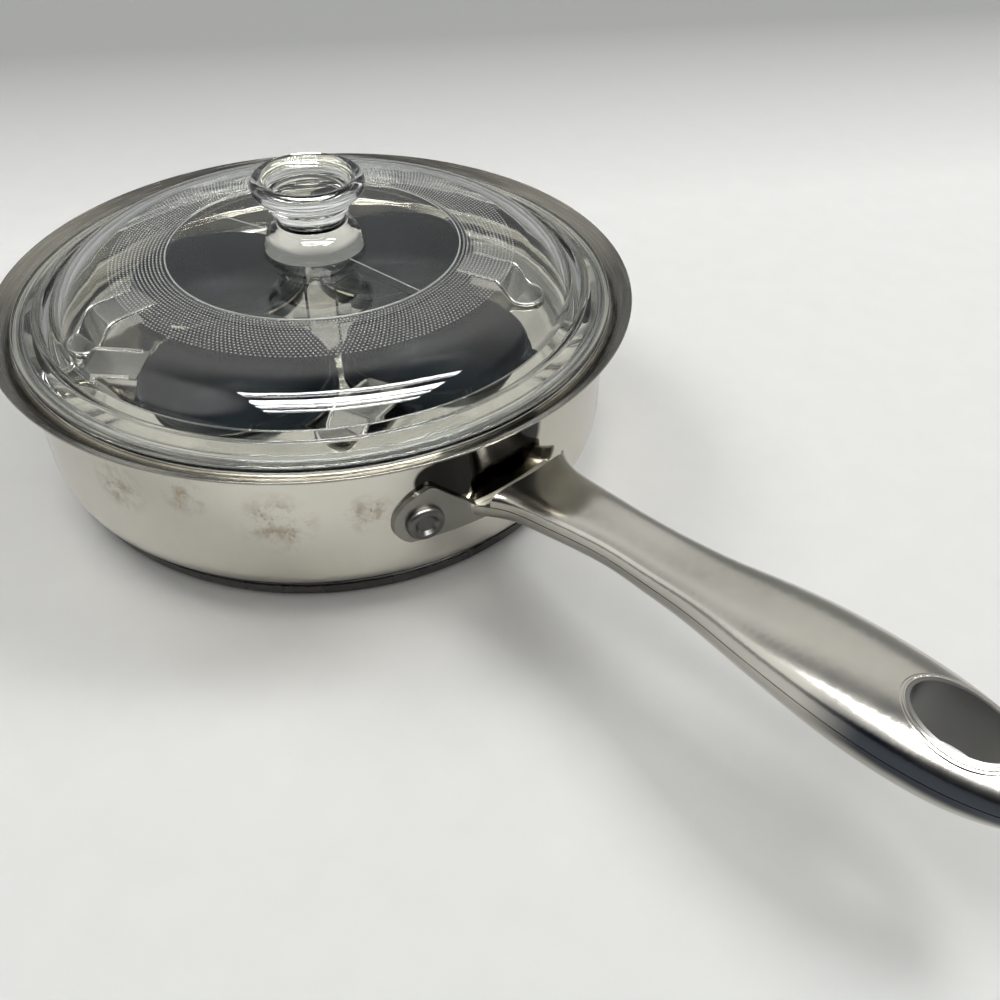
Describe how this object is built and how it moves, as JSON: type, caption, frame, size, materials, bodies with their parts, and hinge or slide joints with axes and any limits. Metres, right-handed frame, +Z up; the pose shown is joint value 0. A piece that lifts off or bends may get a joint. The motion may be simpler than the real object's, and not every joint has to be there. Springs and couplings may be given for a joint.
{
  "type": "egg poacher pan",
  "caption": "Shallow stainless egg poacher pan with a hollow side handle, a hanging tray of coated egg cups and a domed moulded glass lid.",
  "frame": {"origin": "on the pan's axis at the underside of the base, where it stands on the hob", "axes": "+X along the handle, away from the pan; +Z up along the pan's axis; +Y to the left of the handle seen from the pan"},
  "size_m": [0.401, 0.23, 0.1034],
  "materials": {
    "pan_wall": "mirror-polished stainless steel with light stains",
    "base_core": "plain aluminium",
    "base_cap": "dull stainless steel",
    "bracket": "satin stainless steel",
    "rivet": "satin stainless steel",
    "handle": "brushed satin stainless steel",
    "ferrule": "polished stainless steel",
    "tray": "polished stainless steel",
    "lift_loop": "polished stainless steel",
    "cup_coating": "dark satin non-stick coating",
    "cup_tab": "polished stainless steel",
    "lid_glass": "clear moulded glass"
  },
  "bodies": {
    "pan": {"pan_shell": "pan_wall", "base_core": "base_core", "base_cap": "base_cap", "handle_bracket": "bracket", "bracket_rivet": "rivet", "handle_upper_shell": "handle", "handle_lower_shell": "handle", "hang_hole_ferrule": "ferrule"},
    "tray": {"tray_plate": "tray", "tray_lift_loop": "lift_loop"},
    "lid": {"lid_glass": "lid_glass"},
    "cup_1": {"egg_cup_1": "cup_coating", "cup_tab_1": "cup_tab"},
    "cup_2": {"egg_cup_2": "cup_coating", "cup_tab_2": "cup_tab"},
    "cup_3": {"egg_cup_3": "cup_coating", "cup_tab_3": "cup_tab"},
    "cup_4": {"egg_cup_4": "cup_coating", "cup_tab_4": "cup_tab"}
  },
  "joints": [
    {"name": "tray_lift", "type": "slide", "parent": "pan", "child": "tray", "axis": [0, 0, 1], "range_m": [0, 0.09]},
    {"name": "lid_lift", "type": "slide", "parent": "tray", "child": "lid", "axis": [0, 0, 1], "range_m": [0, 0.14]},
    {"name": "cup_lift_1", "type": "slide", "parent": "tray", "child": "cup_1", "axis": [0, 0, 1], "range_m": [0, 0.06]},
    {"name": "cup_lift_2", "type": "slide", "parent": "tray", "child": "cup_2", "axis": [0, 0, 1], "range_m": [0, 0.06]},
    {"name": "cup_lift_3", "type": "slide", "parent": "tray", "child": "cup_3", "axis": [0, 0, 1], "range_m": [0, 0.06]},
    {"name": "cup_lift_4", "type": "slide", "parent": "tray", "child": "cup_4", "axis": [0, 0, 1], "range_m": [0, 0.06]}
  ],
  "couplings": [
    {"joint": "cup_lift_1", "follows": "lid_lift", "ratio": 0.42},
    {"joint": "cup_lift_2", "follows": "lid_lift", "ratio": 0.42},
    {"joint": "cup_lift_3", "follows": "lid_lift", "ratio": 0.42},
    {"joint": "cup_lift_4", "follows": "lid_lift", "ratio": 0.42}
  ]
}
